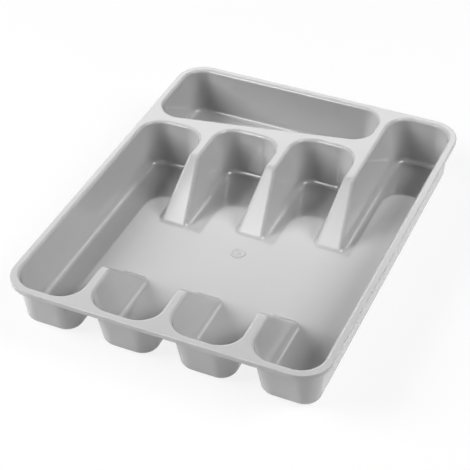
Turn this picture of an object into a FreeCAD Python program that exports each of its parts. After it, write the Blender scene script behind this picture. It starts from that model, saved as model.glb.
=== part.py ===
import FreeCAD, Part
import math
import os

from FreeCAD import Vector

# Cutlery tray: one thin moulded skin with four long bays side by side, a slanted cross bay behind three
# of them, and hollow dividers that ramp down to one floor. The skin is cut into named sections that meet
# face to face. Millimetres, +X to the right, +Y to the back, +Z up, origin under the middle of the tray.

# Overall size
tray_width = 300.0
tray_length = 387.0
tray_height = 50.5
wall = 2.0

# Rim
rim_width = 7.5
rim_corner_radius = 28.0
rim_edge_radius = 0.8
skirt_height = 4.5

# Bays, measured at the rim
bay_count = 4
divider_width = 10.0
bay_step = 15.0
land_width = 14.0
cross_bay_depth = 93.5
bay_corner_radius = 22.0
floor_corner_radius = 13.0
floor_fillet = 6.0
lip_radius = 3.0

# Draft of the walls, in degrees from upright
side_draft = 5.0
front_draft = 11.0
rear_draft = 5.5
divider_draft = 10.0

# Tongues of the dividers and their ramps
front_tongue_length = 50.5
rear_tongue_length = 40.3
rear_tongue_step = 12.5
ramp_angle = 44.0
ramp_crease_radius = 8.0
ramp_shoulder_radius = 4.0

# Largest lip as a share of a divider's width, smallest rounding inside a hollow as a share of the wall, and
# most of a short side that the arcs at its ends may take
lip_share = 0.4
hollow_share = 0.25
arc_share = 0.95
# How far a cut between two sections stays from the nearest curve
cut_margin = 2.0
# How far a cutting tool reaches past what it cuts
overshoot = 4.0
# How close two places have to be to count as one
near = 1e-4

# Places worked out from the sizes above
x_left = -tray_width / 2
x_right = tray_width / 2
y_front = -tray_length / 2
y_back = tray_length / 2
depth = tray_height - wall
lip = min(lip_radius, lip_share * divider_width)
flange = max(lip, wall / math.cos(math.radians(front_draft)))
pitch = tray_width / bay_count
bay_front = y_front + rim_width
bay_slope = bay_step / pitch
first_bay_width = pitch - rim_width - divider_width / 2
first_bay_rear = y_back - rim_width - cross_bay_depth - land_width + bay_slope * first_bay_width / 2
divider_slope = math.tan(math.radians(divider_draft))
divider_foot = divider_width / 2 + divider_slope * depth
fillet_reach = floor_fillet * math.tan(math.radians(90 - divider_draft) / 2)
divider_reach = divider_foot + fillet_reach + cut_margin
ramp_run = depth / math.tan(math.radians(ramp_angle))
crease_reach = ramp_crease_radius * math.tan(math.radians(ramp_angle) / 2)
foot_reach = floor_fillet * math.tan(math.radians(ramp_angle) / 2) + cut_margin
front_tip = bay_front + front_tongue_length
front_cut = front_tip - crease_reach - cut_margin
rear_cut_slope = rear_tongue_step / pitch
flat_wall_reach = rim_width + depth * math.tan(math.radians(side_draft)) + floor_fillet + cut_margin


def divider_x(index):
    """Middle of a divider, counted from the left, starting at 1."""
    return x_left + pitch * index


def rear_tip(index):
    """Where the flat top of a rear divider turns into its ramp."""
    return first_bay_rear - rear_tongue_length + rear_tongue_step * (index - 1)


def rear_cut(x):
    """The slanted upright plane that parts the rear sections from the middle ones."""
    return rear_tip(1) + crease_reach + cut_margin + rear_cut_slope * (x + divider_reach - divider_x(1))


def bay_rear(index):
    """Rear edge of a bay at the rim. The last bay runs to the back of the tray."""
    if index == bay_count:
        return y_back - rim_width
    return first_bay_rear + bay_step * (index - 1)


def bay_corners(index):
    """Corners of a bay at the rim, in turn, from front left."""
    left = divider_x(index - 1) + divider_width / 2
    right = divider_x(index) - divider_width / 2
    if index == 1:
        left = x_left + rim_width
    if index == bay_count:
        right = x_right - rim_width
    front, rear = bay_front, bay_rear(index)
    return [Vector(left, front), Vector(right, front), Vector(right, rear), Vector(left, rear)]


def bay_drafts(index):
    """Draft of the front, right, rear and left walls of a bay."""
    right = side_draft if index == bay_count else divider_draft
    left = side_draft if index == 1 else divider_draft
    return [front_draft, right, rear_draft, left]


def cross_bay_front_y(x):
    """Front edge of the cross bay, which follows the stepped ends of the bays in front of it."""
    return y_back - rim_width - cross_bay_depth + bay_slope * (x - x_left - rim_width)


def cross_bay_corners():
    """Corners of the cross bay at the rim, in turn, from front left."""
    left = x_left + rim_width
    right = divider_x(bay_count - 1) - divider_width / 2
    rear = y_back - rim_width
    return [
        Vector(left, cross_bay_front_y(left)),
        Vector(right, cross_bay_front_y(right)),
        Vector(right, rear),
        Vector(left, rear),
    ]


cross_bay_drafts = [divider_draft, divider_draft, rear_draft, side_draft]


def inset(corners, distances):
    """Move each side of a polygon inwards by its own distance. Side k runs from corner k to the next."""
    count = len(corners)
    moved = []
    for k in range(count):
        along_before = (corners[k] - corners[k - 1]).normalize()
        along_after = (corners[(k + 1) % count] - corners[k]).normalize()
        inward_before = Vector(-along_before.y, along_before.x)
        inward_after = Vector(-along_after.y, along_after.x)
        turn = along_before.cross(along_after).z
        onward = (distances[k - 1] * inward_before.dot(inward_after) - distances[k]) / turn
        moved.append(corners[k] + inward_before * distances[k - 1] + along_before * onward)
    return moved


def outline(corners, radius, z):
    """Closed wire of straight sides joined by arcs of one radius, which gives way to the shortest side."""
    count = len(corners)
    turns = []
    for k in range(count):
        to_before = (corners[k - 1] - corners[k]).normalize()
        to_after = (corners[(k + 1) % count] - corners[k]).normalize()
        turns.append((to_before, to_after, to_before.getAngle(to_after) / 2))
    for k in range(count):
        side = (corners[k] - corners[k - 1]).Length
        taken = 1 / math.tan(turns[k][2]) + 1 / math.tan(turns[k - 1][2])
        radius = min(radius, arc_share * side / taken)
    arcs = []
    for corner, (to_before, to_after, half_angle) in zip(corners, turns):
        lead = radius / math.tan(half_angle)
        middle = (to_before + to_after).normalize()
        crest = corner + middle * (radius / math.sin(half_angle) - radius)
        points = [corner + to_before * lead, crest, corner + to_after * lead]
        arcs.append([Vector(point.x, point.y, z) for point in points])
    edges = []
    for k, arc in enumerate(arcs):
        edges.append(Part.Arc(*arc).toShape())
        edges.append(Part.LineSegment(arc[2], arcs[(k + 1) % count][0]).toShape())
    return Part.Wire(edges)


def edges_at(shape, z):
    """Edges of a shape that lie flat at one height."""
    return [e for e in shape.Edges if abs(e.BoundBox.ZMin - z) < near and abs(e.BoundBox.ZMax - z) < near]


def pocket(corners, drafts, skin, rise):
    """Solid that fills a bay: its inside when skin is 0, and its outside when skin is the wall.

    It stands from the floor, or its underside, to the rim plus the given rise.
    """
    def section(down):
        shifts = []
        for draft in drafts:
            angle = math.radians(draft)
            shifts.append(down * math.tan(angle) - skin / math.cos(angle))
        taper = (bay_corner_radius - floor_corner_radius) / depth
        radius = bay_corner_radius + skin - down * taper
        return outline(inset(corners, shifts), radius, tray_height - down)

    solid = Part.makeLoft([section(depth + skin), section(-rise)], True, True)
    return solid.makeFillet(floor_fillet + skin, edges_at(solid, wall - skin))


def mouth(corners, low, high):
    """Plate over the mouth of a bay and the narrow flange round it."""
    face = Part.Face(outline(inset(corners, [-flange] * len(corners)), bay_corner_radius + flange, low))
    return face.extrude(Vector(0, 0, high - low))


def tub(corners, drafts):
    """Thin skin of a bay with a flange round its mouth, and its inner rim edge rounded."""
    outside = pocket(corners, drafts, wall, -wall / 2).fuse(mouth(corners, depth, tray_height))
    skin = outside.cut(pocket(corners, drafts, 0, overshoot))
    top = [f for f in skin.Faces if abs(f.BoundBox.ZMin - tray_height) < near][0]
    edge = [w for w in top.Wires if not w.isSame(top.OuterWire)][0]
    return skin.makeFillet(lip, edge.Edges)


def upright(points, low=-overshoot, high=tray_height + overshoot):
    """Upright prism over a polygon given as x, y pairs."""
    corners = [Vector(x, y, low) for x, y in points]
    face = Part.Face(Part.makePolygon(corners + corners[:1]))
    return face.extrude(Vector(0, 0, high - low))


def box(x0, x1, y0, y1, low=-overshoot, high=tray_height + overshoot):
    """Upright box between two x and two y values."""
    return upright([(x0, y0), (x1, y0), (x1, y1), (x0, y1)], low, high)


def front_zone():
    """Space of the front sections."""
    return box(x_left - overshoot, x_right + overshoot, y_front - overshoot, front_cut)


def middle_zone(x0, x1):
    """Space between the front cut and the slanted rear cut."""
    return upright([(x0, front_cut), (x1, front_cut), (x1, rear_cut(x1)), (x0, rear_cut(x0))])


def rear_zone():
    """Space behind the slanted rear cut."""
    x0, x1, far = x_left - overshoot, x_right + overshoot, y_back + overshoot
    return upright([(x0, rear_cut(x0)), (x1, rear_cut(x1)), (x1, far), (x0, far)])


def ramp_space(x, tip, heading, skin):
    """Space under a divider's flat top and its ramp, or under both by the wall, as wide as a bay pitch.

    The flat top ends at tip, and the ramp goes down from there towards heading, +1 or -1 along Y.
    """
    angle = math.radians(ramp_angle)
    top = tray_height - skin
    low = -overshoot
    radius = ramp_crease_radius - skin
    bend = tip - heading * skin * math.tan(angle / 2)
    lead = radius * math.tan(angle / 2)
    start = tip - heading * 2 * tray_height
    flat_start = Vector(0, start, top)
    flat_end = Vector(0, bend - heading * lead, top)
    rounded_drop = radius * (1 - math.cos(angle / 2))
    crest = Vector(0, flat_end.y + heading * radius * math.sin(angle / 2), top - rounded_drop)
    ramp_start = Vector(0, bend + heading * lead * math.cos(angle), top - lead * math.sin(angle))
    ramp_end = Vector(0, bend + heading * (top - low) / math.tan(angle), low)
    base_start = Vector(0, start, low)
    profile = Part.Wire([
        Part.LineSegment(base_start, flat_start).toShape(),
        Part.LineSegment(flat_start, flat_end).toShape(),
        Part.Arc(flat_end, crest, ramp_start).toShape(),
        Part.LineSegment(ramp_start, ramp_end).toShape(),
        Part.LineSegment(ramp_end, base_start).toShape(),
    ])
    space = Part.Face(profile).extrude(Vector(pitch, 0, 0))
    space.translate(Vector(x - pitch / 2, 0, 0))
    return space


def half_width(z, skin):
    """Half the width of a divider at a height, or of the hollow inside it."""
    outer = divider_width / 2 + divider_slope * (tray_height - z)
    return outer - skin / math.cos(math.radians(divider_draft))


def along(section, tip):
    """Run a cross section of a divider a good way to both sides of its tip."""
    run = 4 * tray_height
    prism = Part.Face(section).extrude(Vector(0, run, 0))
    prism.translate(Vector(0, tip - run / 2, 0))
    return prism


def ridge(x, tip, heading, skin):
    """Divider as a plain ridge that reaches below the floor, or the hollow inside it.

    Its shoulders have the radius of the lip along the flat top, and grow rounder down the ramp.
    """
    low, top = -overshoot, tray_height - skin
    low_half, top_half = half_width(low, skin), half_width(top, skin)
    section = Part.makePolygon([
        Vector(x - low_half, 0, low),
        Vector(x + low_half, 0, low),
        Vector(x + top_half, 0, top),
        Vector(x - top_half, 0, top),
        Vector(x - low_half, 0, low),
    ])
    solid = along(section, tip).common(ramp_space(x, tip, heading, skin))
    upper = max(lip - skin, hollow_share * wall)
    lower = max(ramp_shoulder_radius - skin, upper)
    for side in (-1, 1):
        def on_side(edge):
            middle = edge.CenterOfMass
            sloping = edge.BoundBox.ZMin < wall and edge.BoundBox.ZMax > tray_height / 2
            return sloping and heading * (middle.y - tip) > near and side * (middle.x - x) > 0

        ends = (upper, lower) if side < 0 else (lower, upper)
        solid = solid.makeFillet(*ends, [e for e in solid.Edges if on_side(e)])
    return solid


def flare(x, tip, heading):
    """Rounding of the underside along both feet of a divider, which ends before the ramp is too low for it."""
    radius = floor_fillet + wall
    angle = math.radians(divider_draft)
    half_turn = (math.pi / 2 - angle) / 2
    lead = radius * math.tan(half_turn)
    foot = half_width(0, wall)
    low = -overshoot
    outer = foot + lead
    height = lead * math.cos(angle)

    def side(sign):
        base = Vector(x + sign * outer, 0, low)
        flat = Vector(x + sign * outer, 0, 0)
        crest_reach = outer - radius * math.sin(half_turn)
        crest = Vector(x + sign * crest_reach, 0, radius - radius * math.cos(half_turn))
        rise = Vector(x + sign * (foot - lead * math.sin(angle)), 0, height)
        return base, flat, crest, rise

    right, left = side(1), side(-1)
    section = Part.Wire([
        Part.LineSegment(left[0], right[0]).toShape(),
        Part.LineSegment(right[0], right[1]).toShape(),
        Part.Arc(right[1], right[2], right[3]).toShape(),
        Part.LineSegment(right[3], left[3]).toShape(),
        Part.Arc(left[3], left[2], left[1]).toShape(),
        Part.LineSegment(left[1], left[0]).toShape(),
    ])
    end = tip + heading * (depth - height - ramp_shoulder_radius) / math.tan(math.radians(ramp_angle))
    y0, y1 = sorted([tip - heading * 2 * tray_height, end])
    return along(section, tip).common(box(x - pitch, x + pitch, y0, y1, 2 * low))


def divider(x, tip, heading):
    """Hollow divider with its ramp and the strip of floor round it."""
    end = tip + heading * (ramp_run + foot_reach)
    y0, y1 = sorted([tip - heading * tray_height, end + heading * overshoot])
    reach = divider_reach + overshoot
    slab = box(x - reach, x + reach, y0, y1, 0, wall)
    top = ridge(x, tip, heading, 0).common(box(x - reach, x + reach, y0, y1, 0))
    solid = slab.fuse(top).removeSplitter()

    def at_foot(edge):
        middle = edge.CenterOfMass
        return y0 + near < middle.y < y1 - near and abs(middle.x - x) < divider_reach

    solid = solid.makeFillet(floor_fillet, [e for e in edges_at(solid, wall) if at_foot(e)])
    solid = solid.cut(ridge(x, tip, heading, wall)).cut(flare(x, tip, heading))
    y0, y1 = sorted([tip - heading * tray_height, end])
    space = box(x - divider_reach, x + divider_reach, y0, y1)
    return solid.common(space).common(middle_zone(x - pitch / 2, x + pitch / 2))


def rim_plate(shrink, low, high):
    """Flat plate over the whole outline of the tray, drawn in by a distance."""
    x0, x1, y0, y1 = x_left + shrink, x_right - shrink, y_front + shrink, y_back - shrink
    corners = [Vector(x0, y0), Vector(x1, y0), Vector(x1, y1), Vector(x0, y1)]
    face = Part.Face(outline(corners, rim_corner_radius - shrink, low))
    return face.extrude(Vector(0, 0, high - low))


def rim_sections():
    """Flat flange round the tray with the lands between the bays, cut across its narrow places."""
    plate = rim_plate(0, depth, tray_height)
    plate = plate.makeFillet(rim_edge_radius, edges_at(plate, tray_height))
    low, high = depth - overshoot, tray_height + overshoot
    for index in range(1, bay_count + 1):
        plate = plate.cut(mouth(bay_corners(index), low, high))
    plate = plate.cut(mouth(cross_bay_corners(), low, high))
    x0, x1, far = x_left - overshoot, x_right + overshoot, y_back + overshoot
    last = divider_x(bay_count - 1)
    past = last + pitch / 2

    def land_middle(x):
        return cross_bay_front_y(x) - land_width / 2

    corner = (last, land_middle(last))
    inner = (past, land_middle(last))
    rear = [(x, rear_cut(x)) for x in (x0, past, x1)]
    left = (x0, land_middle(x0))
    spaces = {
        "front_land": front_zone(),
        "left_rim": middle_zone(x0, x_left + pitch / 2),
        "right_rim": middle_zone(x_right - pitch / 2, x1),
        "rear_land": upright([rear[0], rear[1], inner, corner, left]),
        "cross_bay_rim": upright([left, corner, (last, far), (x0, far)]),
        "long_bay_rim": upright([corner, inner, rear[1], rear[2], (x1, far), (last, far)]),
    }
    for index in range(1, bay_count):
        plate = plate.cut(middle_zone(divider_x(index) - divider_reach, divider_x(index) + divider_reach))
    return {name: plate.common(space) for name, space in spaces.items()}


def rim_skirt():
    """Lip turned down round the flange."""
    low, high = tray_height - skirt_height, tray_height - wall
    return rim_plate(0, low, high).cut(rim_plate(wall, low - overshoot, high + overshoot))


def floor_panel():
    """Flat floor between the side walls, the front and rear cuts and the dividers."""
    x0, x1 = x_left + flat_wall_reach, x_right - flat_wall_reach
    panel = middle_zone(x0, x1).common(box(x0, x1, y_front, y_back, 0, wall))
    for index in range(1, bay_count):
        x = divider_x(index)
        front_end = front_tip + ramp_run + foot_reach
        rear_end = rear_tip(index) - ramp_run - foot_reach
        panel = panel.cut(box(x - divider_reach, x + divider_reach, y_front, front_end))
        panel = panel.cut(box(x - divider_reach, x + divider_reach, rear_end, y_back))
    return panel


def cross_bay_sections():
    """The cross bay, cut at its flat floor into two ends, two walls and a floor."""
    corners = cross_bay_corners()
    skin = tub(corners, cross_bay_drafts)
    left, right = corners[0].x, corners[1].x
    end_reach = bay_corner_radius / math.tan(math.radians(90) / 2 - math.atan(bay_slope) / 2) + cut_margin
    x0, x1 = left + end_reach, right - end_reach
    front_shift = (depth * divider_slope + floor_fillet + cut_margin) / math.cos(math.atan(bay_slope))
    back_line = corners[2].y - depth * math.tan(math.radians(rear_draft)) - floor_fillet - cut_margin
    front_line = [(x, cross_bay_front_y(x) + front_shift) for x in (x0, x1)]
    y0, y1 = y_front, y_back + overshoot
    spaces = {
        "cross_bay_left": box(x_left, x0, y0, y1),
        "cross_bay_right": box(x1, x_right, y0, y1),
        "cross_bay_front": upright([(x0, y0), (x1, y0), front_line[1], front_line[0]]),
        "cross_bay_back": box(x0, x1, back_line, y1),
        "cross_bay_floor": upright([front_line[0], front_line[1], (x1, back_line), (x0, back_line)]),
    }
    return {name: skin.common(space) for name, space in spaces.items()}


def build():
    """All sections by node name."""
    nodes = rim_sections()
    nodes.update({"rim_skirt": rim_skirt(), "floor_panel": floor_panel()})
    for index in range(1, bay_count + 1):
        skin = tub(bay_corners(index), bay_drafts(index))
        nodes[f"front_cup_{index}"] = skin.common(front_zone())
        nodes[f"bay_end_{index}"] = skin.common(rear_zone())
        if index == 1:
            nodes["left_wall"] = skin.common(middle_zone(x_left, x_left + flat_wall_reach))
        if index == bay_count:
            nodes["right_wall"] = skin.common(middle_zone(x_right - flat_wall_reach, x_right))
    for index in range(1, bay_count):
        nodes[f"front_divider_{index}"] = divider(divider_x(index), front_tip, 1)
        nodes[f"rear_divider_{index}"] = divider(divider_x(index), rear_tip(index), -1)
    nodes.update(cross_bay_sections())
    return nodes


os.makedirs("parts", exist_ok=True)
for name, shape in build().items():
    shape.exportStep(f"parts/{name}.step")
    print(name, len(shape.Solids), shape.isValid(), round(shape.Volume, 1))
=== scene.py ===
import math

import bpy
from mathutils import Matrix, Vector


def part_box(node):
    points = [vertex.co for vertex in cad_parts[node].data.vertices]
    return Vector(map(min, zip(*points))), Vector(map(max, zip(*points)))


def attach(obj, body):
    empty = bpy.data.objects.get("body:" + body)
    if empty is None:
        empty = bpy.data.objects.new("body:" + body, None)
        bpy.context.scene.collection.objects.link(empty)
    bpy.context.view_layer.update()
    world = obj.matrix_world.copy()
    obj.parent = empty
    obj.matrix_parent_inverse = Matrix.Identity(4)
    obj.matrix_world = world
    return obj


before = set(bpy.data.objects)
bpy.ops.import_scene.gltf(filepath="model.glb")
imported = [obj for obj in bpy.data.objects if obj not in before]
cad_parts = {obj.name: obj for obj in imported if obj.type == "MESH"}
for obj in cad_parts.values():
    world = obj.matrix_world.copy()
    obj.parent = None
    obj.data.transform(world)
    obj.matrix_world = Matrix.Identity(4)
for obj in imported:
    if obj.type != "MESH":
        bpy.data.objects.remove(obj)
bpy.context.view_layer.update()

bl_info = {
    "name": "Cutlery tray",
    "version": (1, 0, 0),
    "blender": (4, 5, 0),
    "location": "View3D > Sidebar > Cutlery tray",
    "description": "Finishes the moulded cutlery tray and sets it on a plain studio floor",
    "category": "Object",
}

WHITE = (1.0, 1.0, 1.0, 1.0)

# Patterns in the plastic: scale for coordinates in metres, and octaves of detail
CLOUDS = (14.0, 3.0)
GRAIN = (900.0, 2.0)
WAVES = (45.0, 1.0)

# Strength of the patterns, with the heights in metres
GRAIN_SHARE = 0.3
TONE_SPREAD = 0.025
POLISH_SPREAD = 0.2
WAVE_HEIGHT = 0.000002
GRAIN_HEIGHT = 0.0000015
UNDERSIDE_GRAIN_HEIGHT = 0.00001

# Upright part of the normal where the duller underside starts, and where it is complete
UNDERSIDE_STARTS = -0.2
UNDERSIDE_COMPLETE = -0.6

PLASTIC_IOR = 1.59

# Gate mark: widths as shares of its radius, heights and rounding as shares of its height
GATE_SIDES = 96
GATE_RING = 0.22
GATE_SLOPE = 0.1
GATE_HOLLOW = 0.3
GATE_HOLLOW_DEPTH = 0.8
GATE_BUTTON_RISE = 0.9
GATE_ROUNDING = 0.3
GATE_ROUNDED_ANGLE = math.radians(20)
GATE_SMOOTH_ANGLE = math.radians(35)

# Least upright part of the normal of a face that looks up
LOOKS_UP = 0.9

# How far the studio floor lies below the tray, and the share of plain white in what the camera sees of it
FLOOR_DROP = 0.0003
FLOOR_GLOW = 0.85

# Lamps: the middle of each, and its width and height, in metres
SOFTBOXES = {
    "left_softbox": ((-1.64, -0.80, 1.23), (1.2, 1.2)),
    "right_softbox": ((1.54, 0.38, 1.53), (1.1, 1.1)),
}
SHINES = {
    "corner_shine": ((1.20, 0.04, 1.85), (0.6, 0.75)),
    "edge_shine": ((-1.50, -0.87, 1.35), (0.35, 0.5)),
    "tongue_shine": ((0.94, 1.51, 1.29), (0.8, 0.6)),
    "front_shine": ((-0.73, -1.57, 1.35), (0.5, 1.4)),
    "back_shine": ((-1.99, 4.46, 3.48), (3.4, 2.0)),
}

# Panels that fade out, from this share of their height up to the upper edge
FADED_SHINES = ("front_shine", "back_shine")
FADE_STARTS = 0.5

# Width of the camera's sensor that the focal length belongs to, in millimetres
SENSOR_WIDTH = 36.0


def lamp_power(name, description, watts):
    """A setting for the power of one lamp."""
    return bpy.props.FloatProperty(name=name, description=description, unit="POWER", default=watts)


class TraySettings(bpy.types.PropertyGroup):
    """Colour and surface of the moulded plastic, and the mark where it was filled."""

    plastic_colour: bpy.props.FloatVectorProperty(
        name="Plastic colour",
        description="Colour of the plastic all through",
        subtype="COLOR",
        size=4,
        min=0.0,
        max=1.0,
        default=(0.42, 0.42, 0.42, 1.0),
    )
    polish: bpy.props.FloatProperty(
        name="Polish",
        description="Roughness of the polished upper side, where 0 is a mirror",
        subtype="FACTOR",
        min=0.0,
        max=1.0,
        default=0.06,
    )
    underside_roughness: bpy.props.FloatProperty(
        name="Underside roughness",
        description="Roughness of the faces that look down, which the mould leaves duller",
        subtype="FACTOR",
        min=0.0,
        max=1.0,
        default=0.34,
    )
    gate_place: bpy.props.FloatVectorProperty(
        name="Gate place",
        description="Middle of the gate mark, on the upper side of the floor",
        subtype="TRANSLATION",
        unit="LENGTH",
        size=3,
        default=(0.0, -0.0202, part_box("floor_panel")[1].z),
    )
    gate_diameter: bpy.props.FloatProperty(
        name="Gate diameter",
        description="Width of the round gate mark",
        subtype="DISTANCE",
        unit="LENGTH",
        default=0.014,
    )
    gate_height: bpy.props.FloatProperty(
        name="Gate height",
        description="How far the ring of the gate mark stands up from the floor",
        subtype="DISTANCE",
        unit="LENGTH",
        default=0.0005,
    )


class StageSettings(bpy.types.PropertyGroup):
    """Floor, lamps and camera. The power of each lamp goes by the lamp's own name."""

    floor_colour: bpy.props.FloatVectorProperty(
        name="Floor colour",
        description="Colour of the studio floor",
        subtype="COLOR",
        size=4,
        min=0.0,
        max=1.0,
        default=(0.8, 0.8, 0.8, 1.0),
    )
    floor_size: bpy.props.FloatProperty(
        name="Floor size",
        description="Side of the square studio floor",
        subtype="DISTANCE",
        unit="LENGTH",
        default=12.0,
    )
    left_softbox: lamp_power(
        name="Left softbox",
        description="Power of the large softbox on the left",
        watts=64.0,
    )
    right_softbox: lamp_power(
        name="Right softbox",
        description="Power of the large softbox on the right",
        watts=41.0,
    )
    corner_shine: lamp_power(
        name="Corner shine",
        description="Power of the high panel on the right, which shines in the corners of the bays",
        watts=18.5,
    )
    edge_shine: lamp_power(
        name="Edge shine",
        description="Power of the small panel on the left, which draws the edges of the ramps",
        watts=3.0,
    )
    tongue_shine: lamp_power(
        name="Tongue shine",
        description="Power of the panel at the back right, which draws the lines along the tongues",
        watts=4.5,
    )
    front_shine: lamp_power(
        name="Front shine",
        description="Power of the tall panel in front, which draws the lines along the bay ends",
        watts=20.0,
    )
    back_shine: lamp_power(
        name="Back shine",
        description="Power of the far panel at the back left, which the flat faces mirror",
        watts=50.0,
    )
    camera_place: bpy.props.FloatVectorProperty(
        name="Camera place",
        description="Where the camera stands",
        subtype="TRANSLATION",
        unit="LENGTH",
        size=3,
        default=(0.41515, -0.94578, 0.85978),
    )
    camera_turn: bpy.props.FloatVectorProperty(
        name="Camera turn",
        description="How the camera is turned",
        subtype="EULER",
        unit="ROTATION",
        size=3,
        default=(math.radians(50.524), math.radians(0.341), math.radians(24.020)),
    )
    camera_lens: bpy.props.FloatProperty(
        name="Camera lens",
        description="Focal length of the lens, in millimetres",
        unit="CAMERA",
        default=108.35,
    )


class Shade:
    """A shader socket. Sums and products of shades add Math nodes to the tree that they belong to."""

    def __init__(self, tree, socket=None):
        self.tree = tree
        self.socket = socket

    def node(self, kind, inputs=None, output=0, **settings):
        """Adds a node: its settings first, then the values or links of its input sockets."""
        node = self.tree.nodes.new(kind)
        for name, value in settings.items():
            setattr(node, name, value)
        for name, value in (inputs or {}).items():
            if isinstance(value, Shade):
                self.tree.links.new(value.socket, node.inputs[name])
            else:
                node.inputs[name].default_value = value
        return Shade(self.tree, node.outputs[output] if node.outputs else None)

    def maths(self, operation, first, second):
        """Adds a Math node for two shades or numbers."""
        return self.node("ShaderNodeMath", {0: first, 1: second}, operation=operation)

    def ramp(self, start, end):
        """0 where this shade is at the start, 1 where it is at the end, and no less or more beyond."""
        limits = {"From Min": start, "From Max": end, "To Min": 0.0, "To Max": 1.0}
        return self.node("ShaderNodeMapRange", {"Value": self, **limits})

    def seen(self):
        """1 for what the camera sees, straight, in gloss or through something clear, and 0 for light."""
        rays = ("Camera", "Glossy", "Transmission")
        camera, gloss, clear = (self.node("ShaderNodeLightPath", output=f"Is {ray} Ray") for ray in rays)
        return self.maths("MAXIMUM", self.maths("MAXIMUM", camera, gloss), clear)

    def __add__(self, other):
        return self.maths("ADD", self, other)

    __radd__ = __add__

    def __mul__(self, other):
        return self.maths("MULTIPLY", self, other)

    __rmul__ = __mul__


def new_material(name):
    """An empty node material and a shade that adds nodes to it."""
    material = bpy.data.materials.new(name)
    material.use_nodes = True
    material.node_tree.nodes.clear()
    return material, Shade(material.node_tree)


def tray_plastic():
    """Glossy grey plastic: nearly even, with a faint cloudiness, soft waves and a duller underside."""
    settings = bpy.context.scene.tray_settings
    material, shade = new_material("tray_plastic")
    place = shade.node("ShaderNodeTexCoord", output="Object")
    clouds, grain, waves = (
        shade.node("ShaderNodeTexNoise", {"Vector": place, "Scale": scale, "Detail": detail}, output="Fac")
        for scale, detail in (CLOUDS, GRAIN, WAVES)
    )
    facing = shade.node("ShaderNodeNewGeometry", output="Normal")
    upright = shade.node("ShaderNodeSeparateXYZ", {"Vector": facing}, output="Z")
    below = upright.ramp(UNDERSIDE_STARTS, UNDERSIDE_COMPLETE)
    deeper, paler = (
        [min(1.0, channel * tint) for channel in settings.plastic_colour[:3]] + [1.0]
        for tint in (1 - TONE_SPREAD, 1 + TONE_SPREAD)
    )
    tone = shade.node(
        "ShaderNodeMix",
        {"Factor": clouds * (1 - GRAIN_SHARE) + grain * GRAIN_SHARE, "A": deeper, "B": paler},
        output="Result",
        data_type="RGBA",
    )
    gloss = settings.polish * (1 - POLISH_SPREAD + 2 * POLISH_SPREAD * clouds)
    roughness = gloss + below * (settings.underside_roughness - settings.polish)
    height = waves * WAVE_HEIGHT + grain * GRAIN_HEIGHT + below * grain * UNDERSIDE_GRAIN_HEIGHT
    bump = shade.node(
        "ShaderNodeBump",
        {"Height": height, "Strength": 1.0, "Distance": 1.0},
        output="Normal",
    )
    surface = shade.node(
        "ShaderNodeBsdfPrincipled",
        {"Base Color": tone, "Roughness": roughness, "IOR": PLASTIC_IOR, "Normal": bump},
    )
    shade.node("ShaderNodeOutputMaterial", {"Surface": surface})
    return material


def studio_floor():
    """Pale floor that looks white to the camera and in gloss, and still takes the tray's shadow."""
    material, shade = new_material("studio_floor")
    paint = shade.node("ShaderNodeBsdfDiffuse", {"Color": bpy.context.scene.stage_settings.floor_colour})
    glow = shade.node("ShaderNodeEmission", {"Color": WHITE, "Strength": 1.0})
    surface = shade.node("ShaderNodeMixShader", {0: shade.seen() * FLOOR_GLOW, 1: paint, 2: glow})
    shade.node("ShaderNodeOutputMaterial", {"Surface": surface})
    return material


def deselect_all():
    """Deselects every object."""
    bpy.ops.object.select_all(action="DESELECT")


def select_top(mesh):
    """Selects, in edit mode, only those faces of a mesh that look up."""
    bpy.ops.mesh.select_all(action="DESELECT")
    bpy.ops.object.mode_set(mode="OBJECT")
    for face in mesh.polygons:
        face.select = face.normal.z > LOOKS_UP
    bpy.ops.object.mode_set(mode="EDIT")


class TRAY_OT_finish_skin(bpy.types.Operator):
    """Gives every section of the moulded skin the same glossy plastic"""

    bl_idname = "tray.finish_skin"
    bl_label = "Finish the skin"

    def execute(self, context):
        plastic = tray_plastic()
        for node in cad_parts.values():
            node.data.materials.clear()
            node.data.materials.append(plastic)
        return {"FINISHED"}


class TRAY_OT_add_gate_mark(bpy.types.Operator):
    """Models the round mark that the filling point of the mould leaves in the middle of the floor"""

    bl_idname = "tray.add_gate_mark"
    bl_label = "Add the gate mark"

    def execute(self, context):
        settings = context.scene.tray_settings
        radius, height = settings.gate_diameter / 2, settings.gate_height
        deselect_all()
        # The lower half of the disc is sunk in the floor
        bpy.ops.mesh.primitive_cylinder_add(
            vertices=GATE_SIDES,
            radius=radius,
            depth=2 * height,
            location=settings.gate_place,
        )
        mark = context.object
        mark.name = "gate_mark"
        bpy.ops.object.transform_apply(location=True, rotation=True, scale=True)
        bpy.ops.object.mode_set(mode="EDIT")
        select_top(mark.data)
        # From the outside in: ring, slope into the hollow, hollow, and slope up to the button
        insets = (
            (GATE_RING, 0.0),
            (GATE_SLOPE, -GATE_HOLLOW_DEPTH),
            (GATE_HOLLOW, 0.0),
            (GATE_SLOPE, GATE_BUTTON_RISE),
        )
        for width, rise in insets:
            bpy.ops.mesh.inset(thickness=radius * width, depth=height * rise)
        bpy.ops.object.mode_set(mode="OBJECT")
        bevel = mark.modifiers.new("soft edges", "BEVEL")
        bevel.width = height * GATE_ROUNDING
        bevel.segments = 2
        bevel.limit_method = "ANGLE"
        bevel.angle_limit = GATE_ROUNDED_ANGLE
        bpy.ops.object.modifier_apply(modifier=bevel.name)
        bpy.ops.object.shade_smooth_by_angle(angle=GATE_SMOOTH_ANGLE)
        mark.data.materials.append(bpy.data.materials["tray_plastic"])
        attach(mark, "root")
        return {"FINISHED"}


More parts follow.
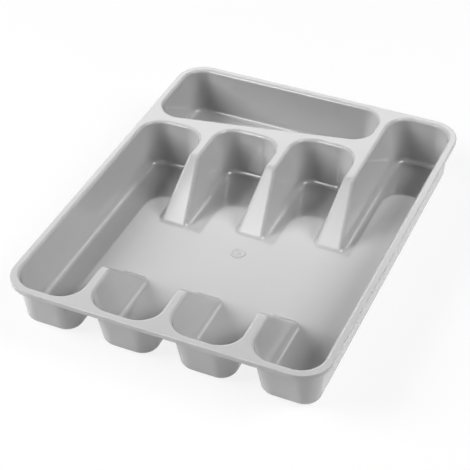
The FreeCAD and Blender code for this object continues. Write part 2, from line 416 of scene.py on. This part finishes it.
class TRAY_OT_set_stage(bpy.types.Operator):
    """Adds the pale floor, the white room, the lamps and the camera"""

    bl_idname = "tray.set_stage"
    bl_label = "Set the stage"

    def execute(self, context):
        scene = context.scene
        settings = scene.stage_settings
        deselect_all()
        bpy.ops.mesh.primitive_plane_add(size=settings.floor_size, location=(0, 0, -FLOOR_DROP))
        floor = context.object
        floor.name = "studio_floor"
        floor.data.materials.append(studio_floor())
        self.add_room(scene)
        for name, (place, size) in SOFTBOXES.items():
            self.add_softbox(name, place, size, getattr(settings, name))
        for name, (place, size) in SHINES.items():
            panel = self.add_shine(name, place, size, getattr(settings, name))
            if name in FADED_SHINES:
                self.fade_panel(panel)
        self.add_camera(scene, settings)
        scene.view_settings.view_transform = "Standard"
        return {"FINISHED"}

    def add_room(self, scene):
        """White to the camera and in gloss, with no other light from it."""
        world = bpy.data.worlds.new("studio_room")
        world.use_nodes = True
        world.node_tree.nodes.clear()
        shade = Shade(world.node_tree)
        air = shade.node("ShaderNodeBackground", {"Color": WHITE, "Strength": shade.seen()})
        shade.node("ShaderNodeOutputWorld", {"Surface": air})
        scene.world = world

    def add_softbox(self, name, place, size, power):
        """A rectangular area lamp that faces the tray, and lights it without being mirrored."""
        deselect_all()
        bpy.ops.object.light_add(type="AREA", location=place)
        lamp = bpy.context.object
        lamp.name = name
        lamp.data.shape = "RECTANGLE"
        lamp.data.size, lamp.data.size_y = size
        lamp.data.energy = power
        lamp.rotation_euler = (-Vector(place)).to_track_quat("-Z", "Y").to_euler()
        lamp.visible_glossy = False
        return lamp

    def add_shine(self, name, place, size, power):
        """A panel that the polished plastic mirrors, and that adds no other light."""
        panel = self.add_softbox(name, place, size, power)
        panel.visible_glossy = True
        panel.visible_diffuse = False
        return panel

    def fade_panel(self, panel):
        """Lets a panel fade out towards its upper edge."""
        panel.data.use_nodes = True
        panel.data.node_tree.nodes.clear()
        shade = Shade(panel.data.node_tree)
        place = shade.node("ShaderNodeNewGeometry", output="Parametric")
        height = shade.node("ShaderNodeSeparateXYZ", {"Vector": place}, output="Y")
        glow = shade.node("ShaderNodeEmission", {"Strength": height.ramp(1.0, FADE_STARTS)})
        shade.node("ShaderNodeOutputLight", {"Surface": glow})

    def add_camera(self, scene, settings):
        """The camera at the photograph's angle."""
        deselect_all()
        bpy.ops.object.camera_add(location=settings.camera_place, rotation=settings.camera_turn)
        camera = bpy.context.object
        camera.data.sensor_width = SENSOR_WIDTH
        camera.data.lens = settings.camera_lens
        scene.camera = camera


class TRAY_PT_panel(bpy.types.Panel):
    """Lists the tray's operators and their settings."""

    bl_idname = "TRAY_PT_panel"
    bl_label = "Cutlery tray"
    bl_space_type = "VIEW_3D"
    bl_region_type = "UI"
    bl_category = "Cutlery tray"

    def draw(self, context):
        layout = self.layout
        for settings in (context.scene.tray_settings, context.scene.stage_settings):
            for name in settings.__annotations__:
                layout.prop(settings, name)
        for operator in operators:
            layout.operator(operator.bl_idname)


operators = (TRAY_OT_finish_skin, TRAY_OT_add_gate_mark, TRAY_OT_set_stage)
classes = (TraySettings, StageSettings, *operators, TRAY_PT_panel)


def register():
    for entry in classes:
        bpy.utils.register_class(entry)
    bpy.types.Scene.tray_settings = bpy.props.PointerProperty(type=TraySettings)
    bpy.types.Scene.stage_settings = bpy.props.PointerProperty(type=StageSettings)


def unregister():
    del bpy.types.Scene.tray_settings
    del bpy.types.Scene.stage_settings
    for entry in reversed(classes):
        bpy.utils.unregister_class(entry)


def main():
    register()
    bpy.ops.tray.finish_skin()
    bpy.ops.tray.add_gate_mark()
    bpy.ops.tray.set_stage()


if __name__ == "__main__":
    main()
